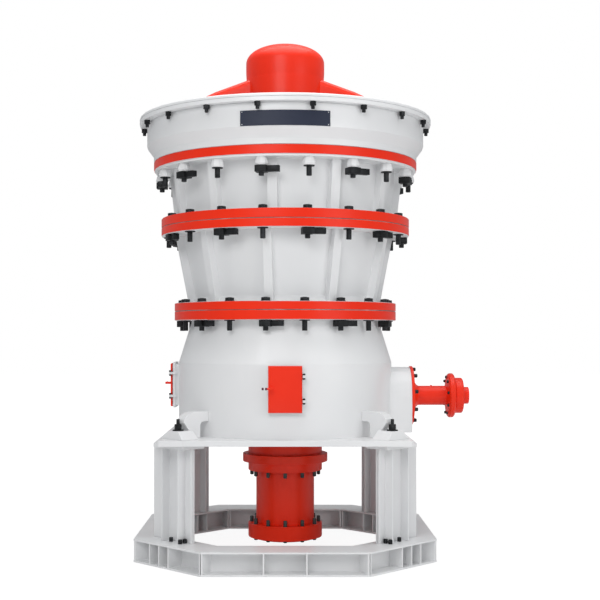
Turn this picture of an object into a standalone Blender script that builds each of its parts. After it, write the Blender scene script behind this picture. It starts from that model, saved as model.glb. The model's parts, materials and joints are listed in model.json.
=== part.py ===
"""Gyratory crusher: octagonal base, bolted shell, spider, drive and three inspection doors."""

import math

import bmesh
import bpy
from mathutils import Matrix, Vector

# All sizes are metres and all heights are above the floor
SEAT_GAP = 0.0003
SWING_CLEARANCE = 0.005

# Fineness of the round pieces
SHELL_STEPS = 48
CYLINDER_STEPS = 32
DRIVE_STEPS = 28
CHAMBER_STEPS = 32
PIN_STEPS = 8

# Base ring of I-beams, eight-sided
BASE_HALF = 1.77
BASE_CUT = 0.836
BEAM_HEIGHT = 0.268
BEAM_WIDTH = 0.41
BEAM_FLANGE = 0.020
BEAM_WEB = 0.016
BEAM_STIFFENER = 0.018
BEAM_STIFFENER_PITCH = 0.476
CHAMFER_STIFFENER_PITCH = 0.167
MITRE = math.tan(math.radians(22.5))

# Legs on the four diagonal beams
LEG_INSET = 0.082
LEG_OFFSET = -0.1355
LEG_WIDTH = 0.283
LEG_DEPTH = 0.24
LEG_PLATE = 0.020
LEG_OUTER_WING = 0.283
LEG_INNER_WING = 0.129
HEAD_PLATE = 0.048
HEAD_MARGIN = 0.04
HEAD_END_MARGIN = 0.01
HEAD_OVERHANG = 0.08

# Bed plate with an elbow bracket and an anchor lug on each corner
BED_BOTTOM = 1.395
BED_THICKNESS = 0.065
BED_HALF = 1.45
BED_CHAMFER = 1.84
BRACKET_WIDTH = 0.12
BRACKET_HEIGHT = 0.303
BRACKET_BAR = 0.117
BRACKET_POST = 0.154
BRACKET_WINDOW = 0.126
BRACKET_NOSE = 0.09
BRACKET_ROUND = 0.16
WINDOW_ROUND = 0.045
GUSSET_HEIGHT = 0.105
LUG_LENGTH = 0.24
LUG_MARGIN = 0.012
LUG_HEIGHT = 0.095
LUG_WIDTH = 0.38
LUG_SLOPE_SIDE = 0.10
LUG_SLOPE_END = 0.022

# Lower shell with the hub for the eccentric
SHELL_WALL = 0.12
LOWER_RADIUS = 1.32
LOWER_CREASE = 2.313
LOWER_NECK = 1.16
HUB_RADIUS = 0.46
HUB_TOP = 2.55
HUB_ARM_WIDTH = 0.16
HUB_ARM_BOTTOM = 1.52
HUB_ARM_TOP = 1.98

# Joint between the lower shell and the lower middle frame
RING_BEVEL = 0.006
LOW_RING_WIDTH = 0.213
LOW_RING_BOTTOM = 2.824
LOW_RING_SEAM = 2.937
LOW_RING_TOP = 3.037

# Lower middle frame
LOWER_FRAME_FOOT = 1.10
LOWER_FRAME_HEAD = 1.27
LOWER_FRAME_FLARE = 0.07
LOWER_RIBS = 10
LOWER_RIB_TURN = -9.0
LOWER_RIB_WIDTH = 0.10
LOWER_RIB_FOOT_DEPTH = 0.10
LOWER_RIB_HEAD_DEPTH = 0.09

# Joint between the two middle frames
MID_RING_WIDTH = 0.265
MID_RING_BOTTOM = 3.861
MID_RING_SEAM = 3.963
MID_RING_TOP = 4.0725

# Upper middle frame with its cast bolt bosses
UPPER_FRAME_FOOT = 1.30
UPPER_FRAME_HEAD = 1.37
UPPER_RIBS = 12
UPPER_RIB_TURN = -6.0
UPPER_RIB_WIDTH = 0.11
UPPER_RIB_FOOT_DEPTH = 0.085
UPPER_RIB_HEAD_DEPTH = 0.08
BOSS_FLANGE_INSET = 0.022
BOSS_FLANGE = 0.022
BOSS_COUNT = 18
BOSS_INSET = 0.093
BOSS_RADIUS = 0.078
BOSS_DEPTH = 0.095
BOSS_STEPS = 8
BOSS_LIP = 0.86
BOSS_NECK = 0.62

# Joint under the top frame
TOP_RING_WIDTH = 0.257
TOP_RING_BOTTOM = 4.663
TOP_RING_TOP = 4.769

# Top frame and its two-part rim
TOP_NECK_TOP = 4.840
TOP_DRUM_BOTTOM = 4.952
TOP_DRUM_RADIUS = 1.709
MOUTH_WALL = 0.239
RIM_OVERHANG = 0.091
RIM_BOTTOM = 5.215
RIM_SEAM = 5.264
RIM_TOP = 5.302
RIM_BEVEL = 0.012
RIM_WIDTH = 0.18
FRAME_WALL = 0.11

# Spider across the feed opening
SPIDER_RING_WIDTH = 0.13
SPIDER_RING_TOP = 5.290
SPIDER_HUB_RADIUS = 0.487
SPIDER_HUB_BOTTOM = 5.30
SPIDER_HUB_TOP = 5.800
SPIDER_ARM_WIDTH = 0.46
SPIDER_ARM_KNEE_RADIUS = 0.861
SPIDER_ARM_KNEE = 5.644
SPIDER_ARM_TIP = 5.300
SPIDER_ARM_ARCH = 5.36
SPIDER_ARM_ROUND = 0.07
SPIDER_ARM_DROP = 0.02
SPIDER_ARM_INSET = 0.01
SPIDER_ARM_LIFT = 0.004
CAP_SHOULDER = 6.04
CAP_TOP = 6.25
CAP_TAPER = 0.006
CAP_ARC_STEPS = 6

# Crushing chamber
LINER = 0.10
LINER_TOP = 5.02
SHAFT_TOP_RADIUS = 0.27
SHAFT_BODY_RADIUS = 0.34
SHAFT_FOOT_RADIUS = 0.24
SHAFT_TOP = 5.74
SHAFT_TAPER = 0.12
MANTLE_TOP = 4.98
MANTLE_BOTTOM = 3.06
MANTLE_TOP_RADIUS = 0.44
MANTLE_WAIST = 3.45
MANTLE_WAIST_RADIUS = 0.70
MANTLE_FOOT_RADIUS = 0.80
MANTLE_LIP_WIDTH = 0.06
MANTLE_LIP_HEIGHT = 0.05
HEAD_NUT_RADIUS = 0.40
HEAD_NUT_HEIGHT = 0.12
ECCENTRIC_TOP = 2.62
ECCENTRIC_COLLAR_RADIUS = 0.62
ECCENTRIC_COLLAR_STEP = 0.10
ECCENTRIC_TOP_GAP = 0.01
ECCENTRIC_WALL = 0.09
ECCENTRIC_BOTTOM = 1.62

# Inspection doors, the same on the front, the left and the rear
DOOR_WIDTH = 0.383
DOOR_HEIGHT = 0.529
DOOR_CENTRE = 2.0345
DOOR_PLATE = 0.022
DOOR_EDGE = 0.009
DOOR_FACE = 1.411
DOOR_FRAME_WIDTH = 0.372
DOOR_FRAME_HEIGHT = 0.505
DOOR_FRAME_WALL = 0.032
HINGE_SIDE = 0.212
HINGE_FACE = 1.413
HINGE_SPREAD = 0.28
HINGE_RISE = 0.0055
HINGE_LUG = 0.030
HINGE_LUG_WIDTH = 0.030
HINGE_LEAF = 0.010
HINGE_LEAF_ROOT = 0.020
HINGE_LEAF_PROUD = 0.004
HINGE_LEAF_BACK = 0.003
HINGE_LEAF_TRIM = 0.001
HINGE_KNUCKLE_TRIM = 0.002
HINGE_ROOT_NEAR = 0.012
HINGE_ROOT_FAR = 0.045
HINGE_ARM_FAR = 0.05
HINGE_PIN_RADIUS = 0.008
HINGE_RUN = 0.001
HANDLE_RISE = 0.0105
HANDLE_INSET = 0.035
HANDLE_REACH = 0.10
HANDLE_OVERHANG = 0.105
HANDLE_RADIUS = 0.012
HANDLE_STEM_RADIUS = 0.0144
LATCH_BOSS_RADIUS = 0.022
LATCH_BOSS_REACH = 0.03

# Drive on the right
DRIVE_HEIGHT = 1.895
BOSS_ARCH_RADIUS = 0.353
BOSS_FACE = 1.5475
DRIVE_FLANGE_RADIUS = 0.365
DRIVE_FLANGE = 0.035
DRIVE_FLARE_RADIUS = 0.235
DRIVE_FLARE_END = 1.66
DRIVE_TUBE_RADIUS = 0.12
DRIVE_TUBE_END = 2.00
DRIVE_END_RADIUS = 0.275
DRIVE_END_FACE = 2.10
DRIVE_END_BEVEL = 0.018
DRIVE_END_STEP = 0.02
COVER_RADIUS = 0.22
COVER_FACE = 2.205
COVER_BEVEL = 0.012
DRIVE_SHAFT_RADIUS = 0.085
DRIVE_STUB_RADIUS = 0.105
DRIVE_STUB_START = 2.213
DRIVE_REACH = 2.282
DRIVE_SHAFT_START = 1.20
DRIVE_TUNNEL_RADIUS = 0.16

# Hydraulic cylinder under the hub
CYLINDER_RADIUS = 0.459
CYLINDER_FOOT = 0.975
COLLAR_RADIUS = 0.527
COLLAR_BOTTOM = 1.083
COLLAR_TOP = 1.184
BARREL_RADIUS = 0.361
BASE_FLANGE_TOP = 0.323
BASE_FLANGE_BOTTOM = 0.125
BASE_FLANGE_STEP = 0.15
BASE_FLANGE_FOOT_RADIUS = 0.37

# Values worked out from the sizes above
BED_TOP = BED_BOTTOM + BED_THICKNESS
BASE_CORNER = BASE_HALF - BASE_CUT
CHAMFER_OUTER = (BASE_HALF + BASE_CORNER) / math.sqrt(2.0)
LOW_RING_RADIUS = LOWER_NECK + LOW_RING_WIDTH
MID_RING_RADIUS = LOWER_FRAME_HEAD + MID_RING_WIDTH
TOP_RING_RADIUS = UPPER_FRAME_HEAD + TOP_RING_WIDTH
BOSS_FLANGE_RADIUS = TOP_RING_RADIUS - BOSS_FLANGE_INSET
BOSS_CIRCLE = TOP_RING_RADIUS - BOSS_INSET
LEG_RADIUS = CHAMFER_OUTER - BEAM_WIDTH / 2.0 - LEG_INSET
HEAD_REACH = BED_HALF + HEAD_OVERHANG
TOP_MOUTH = TOP_DRUM_RADIUS - MOUTH_WALL
RIM_RADIUS = TOP_DRUM_RADIUS + RIM_OVERHANG
RIM_INNER = RIM_RADIUS - RIM_WIDTH
HINGE_MIDDLE = DOOR_CENTRE + HINGE_RISE
HANDLE_HEIGHT = DOOR_CENTRE + HANDLE_RISE
FULL_TURN = 2.0 * math.pi
CRUSHER_AXIS_X = (RIM_RADIUS - DRIVE_REACH) / 2.0
DIAGONALS = {
    "front_left": (-1, -1),
    "front_right": (1, -1),
    "rear_left": (-1, 1),
    "rear_right": (1, 1),
}
DOOR_TURNS = {"front": 0.0, "left": -90.0, "rear": 180.0}


def clear_scene():
    for old in list(bpy.data.objects):
        bpy.data.objects.remove(old, do_unlink=True)


def paint(name, colour, roughness, metallic=0.0):
    """Make a plain finish."""
    finish = bpy.data.materials.new(name)
    finish.use_nodes = True
    shader = finish.node_tree.nodes["Principled BSDF"]
    shader.inputs["Base Color"].default_value = (*colour, 1.0)
    shader.inputs["Roughness"].default_value = roughness
    shader.inputs["Metallic"].default_value = metallic
    finish.diffuse_color = (*colour, 1.0)
    return finish


def close_up(solid):
    """Merge doubled points and point every face outwards."""
    bmesh.ops.remove_doubles(solid, verts=solid.verts, dist=1e-5)
    bmesh.ops.recalc_face_normals(solid, faces=solid.faces)
    return solid


def turned(profile, steps):
    """Spin a closed outline of (radius, height) points about Z."""
    solid = bmesh.new()
    points = [solid.verts.new((radius, 0.0, height)) for radius, height in profile]
    count = len(points)
    edges = []
    for index in range(count):
        start, end = profile[index], profile[(index + 1) % count]
        if start[0] > 0.0 or end[0] > 0.0:
            edges.append(solid.edges.new((points[index], points[(index + 1) % count])))
    bmesh.ops.spin(solid, geom=points + edges, cent=(0, 0, 0), axis=(0, 0, 1), dvec=(0, 0, 0),
                   angle=FULL_TURN, steps=steps, use_merge=True, use_duplicate=False)
    return close_up(solid)


def prism(outline, depth):
    """Extrude a flat outline of (x, z) points to both sides along Y."""
    solid = bmesh.new()
    face = solid.faces.new([solid.verts.new((x, -depth / 2.0, z)) for x, z in outline])
    grown = bmesh.ops.extrude_face_region(solid, geom=[face])["geom"]
    moved = [part for part in grown if isinstance(part, bmesh.types.BMVert)]
    bmesh.ops.translate(solid, verts=moved, vec=(0, depth, 0))
    return close_up(solid)


def plate(outline, bottom, top):
    """Extrude a flat outline of (x, y) points from one height to another."""
    solid = bmesh.new()
    face = solid.faces.new([solid.verts.new((x, y, bottom)) for x, y in outline])
    grown = bmesh.ops.extrude_face_region(solid, geom=[face])["geom"]
    moved = [part for part in grown if isinstance(part, bmesh.types.BMVert)]
    bmesh.ops.translate(solid, verts=moved, vec=(0, 0, top - bottom))
    return close_up(solid)


def block(low, high):
    """Make a box between two corners."""
    solid = bmesh.new()
    size = Vector(high) - Vector(low)
    middle = (Vector(high) + Vector(low)) / 2.0
    bmesh.ops.create_cube(solid, size=1.0, matrix=Matrix.Translation(middle) @ Matrix.Diagonal((*size, 1.0)))
    return solid


def rod(radius, bottom, top, steps, centre=(0.0, 0.0)):
    """Make an upright round bar."""
    solid = bmesh.new()
    middle = (centre[0], centre[1], (bottom + top) / 2.0)
    bmesh.ops.create_cone(solid, cap_ends=True, cap_tris=False, segments=steps, radius1=radius,
                          radius2=radius, depth=top - bottom, matrix=Matrix.Translation(middle))
    return solid


def laid_along_x(solid, height):
    """Lay an upright piece down, so that its own Z runs along X at a height."""
    place = Matrix.Translation((0, 0, height)) @ Matrix.Rotation(math.radians(90.0), 4, "Y")
    bmesh.ops.transform(solid, matrix=place, verts=solid.verts)
    return solid


def turn(solid, degrees):
    bmesh.ops.rotate(solid, cent=(0, 0, 0), matrix=Matrix.Rotation(math.radians(degrees), 3, "Z"),
                     verts=solid.verts)
    return solid


def gathered(solids):
    """Put several solids into one mesh, still as separate bodies."""
    whole = bmesh.new()
    for solid in solids:
        mesh = bpy.data.meshes.new("gathered")
        solid.to_mesh(mesh)
        solid.free()
        whole.from_mesh(mesh)
        bpy.data.meshes.remove(mesh)
    return whole


def helper(solid):
    mesh = bpy.data.meshes.new("helper")
    solid.to_mesh(mesh)
    solid.free()
    thing = bpy.data.objects.new("helper", mesh)
    bpy.context.scene.collection.objects.link(thing)
    return thing


def boolean(solid, tools, operation):
    """Join a solid with others, or cut it with them."""
    target = helper(solid)
    cutters = [helper(tool) for tool in tools]
    for cutter in cutters:
        step = target.modifiers.new("step", "BOOLEAN")
        step.operation = operation
        step.solver = "EXACT"
        step.object = cutter
    result = bmesh.new()
    result.from_object(target, bpy.context.evaluated_depsgraph_get())
    for thing in [target, *cutters]:
        mesh = thing.data
        bpy.data.objects.remove(thing, do_unlink=True)
        bpy.data.meshes.remove(mesh)
    bmesh.ops.remove_doubles(result, verts=result.verts, dist=1e-5)
    bmesh.ops.dissolve_limit(result, angle_limit=math.radians(0.05), verts=result.verts,
                             edges=result.edges)
    return result


def join(solid, *tools):
    return boolean(solid, tools, "UNION")


def cut(solid, *tools):
    return boolean(solid, tools, "DIFFERENCE")


def add_piece(name, solid, finish, parent, pivot=(0.0, 0.0, 0.0), facing=0.0):
    """Make a named object whose origin is its pivot, turned about its parent's axis."""
    bmesh.ops.translate(solid, verts=solid.verts, vec=-Vector(pivot))
    mesh = bpy.data.meshes.new(name)
    solid.to_mesh(mesh)
    solid.free()
    mesh.materials.append(finish)
    mesh.shade_smooth()
    mesh.set_sharp_from_angle(angle=math.radians(30.0))
    thing = bpy.data.objects.new(name, mesh)
    bpy.context.scene.collection.objects.link(thing)
    spin = Matrix.Rotation(math.radians(facing), 4, "Z")
    thing.location = spin @ Vector(pivot)
    thing.rotation_euler = (0.0, 0.0, math.radians(facing))
    thing.parent = parent
    return thing


def beam(outer, half_length, stiffeners):
    """Make a mitred I-beam whose outer edge lies at a distance from the crusher's axis."""
    inner = outer - BEAM_WIDTH
    web_low = outer - (BEAM_WIDTH + BEAM_WEB) / 2.0
    web_high = outer - (BEAM_WIDTH - BEAM_WEB) / 2.0
    upper = BEAM_HEIGHT - BEAM_FLANGE
    outline = [(inner, 0.0), (outer, 0.0), (outer, BEAM_FLANGE), (web_high, BEAM_FLANGE), (web_high, upper),
               (outer, upper), (outer, BEAM_HEIGHT), (inner, BEAM_HEIGHT), (inner, upper), (web_low, upper),
               (web_low, BEAM_FLANGE), (inner, BEAM_FLANGE)]

    def reach(x):
        return half_length - (outer - x) * MITRE - SEAT_GAP

    solid = prism(outline, 2.0)
    for point in solid.verts:
        point.co.y = math.copysign(reach(point.co.x), point.co.y)
    recess = BEAM_STIFFENER / 3.0
    low, high = BEAM_FLANGE / 2.0, BEAM_HEIGHT - BEAM_FLANGE / 2.0
    webs = [block((inner + recess, place - BEAM_STIFFENER / 2.0, low),
                  (outer - recess, place + BEAM_STIFFENER / 2.0, high)) for place in stiffeners]
    for side in (-1.0, 1.0):
        end = block((inner + recess, 0.0, low), (outer - recess, 1.0, high))
        for point in end.verts:
            depth = recess if point.co.y > 0.5 else recess + BEAM_STIFFENER
            point.co.y = side * (reach(point.co.x) - depth)
        webs.append(close_up(end))
    return join(solid, gathered(webs))


def add_base(finish, parent):
    """Lay the eight beams, with the diagonal ones stiffened under their legs."""
    chamfer_half = BASE_CUT / math.sqrt(2.0)
    straight = {"right": 0.0, "rear": 90.0, "left": 180.0, "front": 270.0}
    slanted = {"rear_right": 45.0, "rear_left": 135.0, "front_left": 225.0, "front_right": 315.0}
    half_pitch = BEAM_STIFFENER_PITCH / 2.0
    for side, angle in straight.items():
        solid = beam(BASE_HALF, BASE_CORNER, (-half_pitch, half_pitch))
        add_piece(f"base_beam_{side}", solid, finish, parent, facing=angle)
    for side, angle in slanted.items():
        side_x, side_y = DIAGONALS[side]
        places = [side_x * side_y * (LEG_OFFSET + step * CHAMFER_STIFFENER_PITCH) for step in (-1, 0, 1)]
        solid = beam(CHAMFER_OUTER, chamfer_half, places)
        add_piece(f"base_beam_{side}", solid, finish, parent, facing=angle)


def add_legs(finish, parent):
    """Stand a winged H-column with a head plate on each diagonal beam."""
    half_plate = LEG_PLATE / 2.0
    near = LEG_OFFSET + LEG_WIDTH / 2.0
    far = LEG_OFFSET - LEG_WIDTH / 2.0
    ends = (far - LEG_OUTER_WING, near + LEG_INNER_WING)
    half_depth = LEG_DEPTH / 2.0
    lower_edge = [(ends[0], -half_plate)]
    for middle in (far, near):
        lower_edge += [(middle - half_plate, -half_plate), (middle - half_plate, -half_depth),
                       (middle + half_plate, -half_depth), (middle + half_plate, -half_plate)]
    lower_edge.append((ends[1], -half_plate))
    outline = lower_edge + [(along, -out) for along, out in reversed(lower_edge)]
    top = BED_BOTTOM - SEAT_GAP
    head_bottom = top - HEAD_PLATE
    for corner, (side_x, side_y) in DIAGONALS.items():
        column = plate([(LEG_RADIUS + out, along) for along, out in outline],
                       BEAM_HEIGHT + SEAT_GAP, head_bottom + HEAD_PLATE / 2.0)
        head = block((LEG_RADIUS - half_depth - HEAD_MARGIN, ends[0] - HEAD_END_MARGIN, head_bottom),
                     (LEG_RADIUS + half_depth + HEAD_MARGIN, ends[1] + 2.0 * HEAD_END_MARGIN, top))
        trimmed = turn(head, 45.0)
        bmesh.ops.bisect_plane(trimmed, geom=trimmed.verts[:] + trimmed.edges[:] + trimmed.faces[:],
                               plane_co=(0, HEAD_REACH, 0), plane_no=(0, 1, 0), clear_outer=True)
        bmesh.ops.bisect_plane(trimmed, geom=trimmed.verts[:] + trimmed.edges[:] + trimmed.faces[:],
                               plane_co=(HEAD_REACH, 0, 0), plane_no=(1, 0, 0), clear_outer=True)
        bmesh.ops.holes_fill(trimmed, edges=trimmed.edges)
        close_up(trimmed)
        solid = join(trimmed, turn(column, 45.0))
        bmesh.ops.scale(solid, vec=(side_x, side_y, 1.0), verts=solid.verts)
        bmesh.ops.recalc_face_normals(solid, faces=solid.faces)
        add_piece(f"leg_{corner}", solid, finish, parent)


def add_bed(finish, parent):
    inner = LOWER_RADIUS - SHELL_WALL
    side = BED_CHAMFER * math.sqrt(2.0) - BED_HALF
    outline = [(BED_HALF, -side), (BED_HALF, side), (side, BED_HALF), (-side, BED_HALF),
               (-BED_HALF, side), (-BED_HALF, -side), (-side, -BED_HALF), (side, -BED_HALF)]
    solid = plate(outline, BED_BOTTOM, BED_TOP)
    hole = rod(inner, BED_BOTTOM - BED_THICKNESS, BED_TOP + BED_THICKNESS, SHELL_STEPS)
    add_piece("bed_plate", cut(solid, hole), finish, parent)


def arc(centre, radii, first, last, steps):
    """Give the points of an elliptical arc from one angle to another, in degrees."""
    points = []
    for step in range(steps + 1):
        angle = math.radians(first + (last - first) * step / steps)
        points.append((centre[0] + radii[0] * math.cos(angle), centre[1] + radii[1] * math.sin(angle)))
    return points


def add_brackets(finish, parent):
    """Stand an elbow bracket and a sloped anchor lug on each corner of the bed plate."""
    floor = BED_TOP + SEAT_GAP
    start = LOWER_RADIUS - SHELL_WALL / 2.0
    top = floor + BRACKET_HEIGHT
    under = top - BRACKET_BAR
    post_inner = LOWER_RADIUS + BRACKET_WINDOW
    post_outer = post_inner + BRACKET_POST
    tip = post_outer + BRACKET_NOSE
    outline = [(start, under)]
    window = (post_inner - WINDOW_ROUND, under - WINDOW_ROUND)
    outline += arc(window, (WINDOW_ROUND, WINDOW_ROUND), 90.0, 0.0, 3)
    outline += [(post_inner, floor), (post_outer, floor), (post_outer, under - GUSSET_HEIGHT)]
    outline += arc((tip - BRACKET_ROUND, under), (BRACKET_ROUND, BRACKET_BAR), 0.0, 90.0, 5)
    outline.append((start, top))
    lug_end = BED_CHAMFER - LUG_MARGIN
    lug_top = floor + LUG_HEIGHT
    for index, corner in enumerate(("rear_right", "rear_left", "front_left", "front_right")):
        lug = block((lug_end - LUG_LENGTH, -LUG_WIDTH / 2.0, floor), (lug_end, LUG_WIDTH / 2.0, lug_top))
        for point in lug.verts:
            if point.co.z > floor + LUG_HEIGHT / 2.0:
                point.co.y -= math.copysign(LUG_SLOPE_SIDE, point.co.y)
                point.co.x -= LUG_SLOPE_END if point.co.x > lug_end - LUG_LENGTH / 2.0 else 0.0
        solid = join(prism(outline, BRACKET_WIDTH), lug)
        wall = rod(LOWER_RADIUS + SEAT_GAP, BED_BOTTOM, LOWER_CREASE, SHELL_STEPS)
        solid = cut(turn(solid, 45.0 + 90.0 * index), wall)
        add_piece(f"corner_bracket_{corner}", solid, finish, parent)


def ring(inner, outer, bottom, top, steps, bevel=0.0):
    profile = [(inner, bottom), (outer - bevel, bottom), (outer, bottom + bevel), (outer, top - bevel),
               (outer - bevel, top), (inner, top)]
    if bevel == 0.0:
        profile = [(inner, bottom), (outer, bottom), (outer, top), (inner, top)]
    return turned(profile, steps)


def bore_for(radius, steps):
    """Give the corner radius of a many-sided hole that a turning round piece just clears."""
    return (radius + SEAT_GAP) / math.cos(math.pi / steps)


def seat_for(radius, steps):
    """Give the corner radius of a hole that lies round a fixed piece with as many sides."""
    return radius + SEAT_GAP / math.cos(math.pi / steps)


def drive_rod(radius, start, end):
    return laid_along_x(rod(radius, start, end, DRIVE_STEPS), DRIVE_HEIGHT)


def add_lower_shell(finish, parent):
    """Cast the lower shell in one piece with its hub, arms, drive boss and doorways."""
    floor = BED_TOP + SEAT_GAP
    top = LOW_RING_SEAM - SEAT_GAP / 2.0
    wall = [(LOWER_NECK, top), (LOWER_NECK - SHELL_WALL, top), (LOWER_RADIUS - SHELL_WALL, LOWER_CREASE),
            (LOWER_RADIUS - SHELL_WALL, floor), (LOWER_RADIUS, floor), (LOWER_RADIUS, LOWER_CREASE),
            (LOWER_NECK, LOW_RING_BOTTOM)]
    solid = turned(wall, SHELL_STEPS)
    arch = [(-BOSS_ARCH_RADIUS, floor), (BOSS_ARCH_RADIUS, floor)]
    steps = DRIVE_STEPS // 2
    for step in range(steps + 1):
        angle = math.pi * step / steps
        arch.append((BOSS_ARCH_RADIUS * math.cos(angle), DRIVE_HEIGHT + BOSS_ARCH_RADIUS * math.sin(angle)))
    depth = BOSS_FACE - (LOWER_RADIUS - SHELL_WALL / 2.0)
    boss = prism(arch, depth)
    bmesh.ops.translate(boss, verts=boss.verts, vec=(0, BOSS_FACE - depth / 2.0, 0))
    turn(boss, -90.0)
    arms = []
    reach = LOWER_RADIUS - SHELL_WALL / 2.0
    for index in range(4):
        arm = block((HUB_RADIUS - SHELL_WALL / 2.0, -HUB_ARM_WIDTH / 2.0, HUB_ARM_BOTTOM),
                    (reach, HUB_ARM_WIDTH / 2.0, HUB_ARM_TOP))
        arms.append(turn(arm, 45.0 + 90.0 * index))
    hub = rod(HUB_RADIUS, BED_BOTTOM, HUB_TOP, CYLINDER_STEPS)
    solid = join(solid, boss, gathered(arms), hub)
    hollow = rod(seat_for(SHAFT_FOOT_RADIUS + ECCENTRIC_WALL, CYLINDER_STEPS), ECCENTRIC_BOTTOM - SEAT_GAP,
                 HUB_TOP + SHELL_WALL, CYLINDER_STEPS)
    tunnel = drive_rod(DRIVE_TUNNEL_RADIUS, DRIVE_SHAFT_START - SHELL_WALL, BOSS_FACE + SHELL_WALL)
    doorways = []
    for facing in DOOR_TURNS.values():
        half = DOOR_FRAME_WIDTH / 2.0 - DOOR_FRAME_WALL
        rise = DOOR_FRAME_HEIGHT / 2.0 - DOOR_FRAME_WALL
        doorway = block((-half, -DOOR_FACE, DOOR_CENTRE - rise),
                        (half, -(LOWER_RADIUS - 2.0 * SHELL_WALL), DOOR_CENTRE + rise))
        doorways.append(turn(doorway, facing))
    add_piece("lower_shell", cut(solid, hollow, tunnel, gathered(doorways)), finish, parent)


def ribs(count, first, width, outline):
    """Repeat an upright rib, drawn as (radius, height) points, round the axis."""
    return gathered([turn(prism(outline, width), first + index * 360.0 / count) for index in range(count)])


def add_lower_middle_frame(finish, parent):
    top = MID_RING_SEAM - SEAT_GAP / 2.0
    bottom = LOW_RING_SEAM + SEAT_GAP / 2.0
    under = MID_RING_BOTTOM - SEAT_GAP
    over = LOW_RING_TOP + SEAT_GAP
    wall = [(LOWER_FRAME_HEAD, top), (LOWER_FRAME_HEAD - FRAME_WALL, top),
            (LOWER_FRAME_FOOT - FRAME_WALL, bottom), (LOWER_FRAME_FOOT, bottom), (LOWER_FRAME_FOOT, over),
            (LOWER_FRAME_FOOT + LOWER_FRAME_FLARE, over),
            (LOWER_FRAME_FOOT + LOWER_FRAME_FLARE / 4.0, over + LOWER_FRAME_FLARE), (LOWER_FRAME_HEAD, under)]
    root_foot = LOWER_FRAME_FOOT - FRAME_WALL / 2.0
    root_head = LOWER_FRAME_HEAD - FRAME_WALL / 2.0
    outline = [(root_foot, over), (LOWER_FRAME_FOOT + LOWER_RIB_FOOT_DEPTH, over),
               (LOWER_FRAME_HEAD + LOWER_RIB_HEAD_DEPTH, under), (root_head, under)]
    braces = ribs(LOWER_RIBS, LOWER_RIB_TURN - 90.0, LOWER_RIB_WIDTH, outline)
    add_piece("lower_middle_frame", join(turned(wall, SHELL_STEPS), braces), finish, parent)


def add_upper_middle_frame(finish, parent):
    """Make the ribbed frame with a flange of bell-shaped bolt bosses."""
    top = TOP_RING_TOP - SEAT_GAP / 2.0
    bottom = MID_RING_SEAM + SEAT_GAP / 2.0
    under = TOP_RING_BOTTOM - SEAT_GAP
    over = MID_RING_TOP + SEAT_GAP
    shelf = under - BOSS_FLANGE
    wall = [(UPPER_FRAME_HEAD, top), (UPPER_FRAME_HEAD - FRAME_WALL, top),
            (UPPER_FRAME_FOOT - FRAME_WALL, bottom), (UPPER_FRAME_FOOT, bottom), (UPPER_FRAME_FOOT, over),
            (UPPER_FRAME_HEAD, shelf), (BOSS_FLANGE_RADIUS, shelf), (BOSS_FLANGE_RADIUS, under),
            (UPPER_FRAME_HEAD, under)]
    root_foot = UPPER_FRAME_FOOT - FRAME_WALL / 2.0
    root_head = UPPER_FRAME_HEAD - FRAME_WALL / 2.0
    seat = shelf + BOSS_FLANGE / 2.0
    outline = [(root_foot, over), (UPPER_FRAME_FOOT + UPPER_RIB_FOOT_DEPTH, over),
               (UPPER_FRAME_HEAD + UPPER_RIB_HEAD_DEPTH, seat), (root_head, seat)]
    braces = ribs(UPPER_RIBS, UPPER_RIB_TURN - 90.0, UPPER_RIB_WIDTH, outline)
    bell = [(0.0, shelf - BOSS_DEPTH), (BOSS_RADIUS * BOSS_LIP, shelf - BOSS_DEPTH),
            (BOSS_RADIUS, shelf - BOSS_DEPTH * 0.8), (BOSS_RADIUS * BOSS_LIP, shelf - BOSS_DEPTH * 0.3),
            (BOSS_RADIUS * BOSS_NECK, seat), (0.0, seat)]
    bosses = []
    pitch = 360.0 / BOSS_COUNT
    for index in range(BOSS_COUNT):
        boss = turned(bell, BOSS_STEPS)
        bmesh.ops.translate(boss, verts=boss.verts, vec=(BOSS_CIRCLE, 0, 0))
        bosses.append(turn(boss, (index + 0.5) * pitch - 90.0))
    solid = join(turned(wall, SHELL_STEPS), braces, gathered(bosses))
    add_piece("upper_middle_frame", solid, finish, parent)


def add_flange_rings(finish, parent):
    half = SEAT_GAP / 2.0
    rings = {
        "low_joint_ring_bottom": (LOWER_NECK, LOW_RING_RADIUS, LOW_RING_BOTTOM + SEAT_GAP,
                                  LOW_RING_SEAM - half),
        "low_joint_ring_top": (LOWER_FRAME_FOOT, LOW_RING_RADIUS, LOW_RING_SEAM + half, LOW_RING_TOP),
        "mid_joint_ring_bottom": (LOWER_FRAME_HEAD, MID_RING_RADIUS, MID_RING_BOTTOM, MID_RING_SEAM - half),
        "mid_joint_ring_top": (UPPER_FRAME_FOOT, MID_RING_RADIUS, MID_RING_SEAM + half, MID_RING_TOP),
        "top_joint_ring": (UPPER_FRAME_HEAD, TOP_RING_RADIUS, TOP_RING_BOTTOM, TOP_RING_TOP - half),
    }
    for name, (inner, outer, bottom, top) in rings.items():
        solid = ring(seat_for(inner, SHELL_STEPS), outer, bottom, top, SHELL_STEPS, RING_BEVEL)
        add_piece(name, solid, finish, parent)


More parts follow.
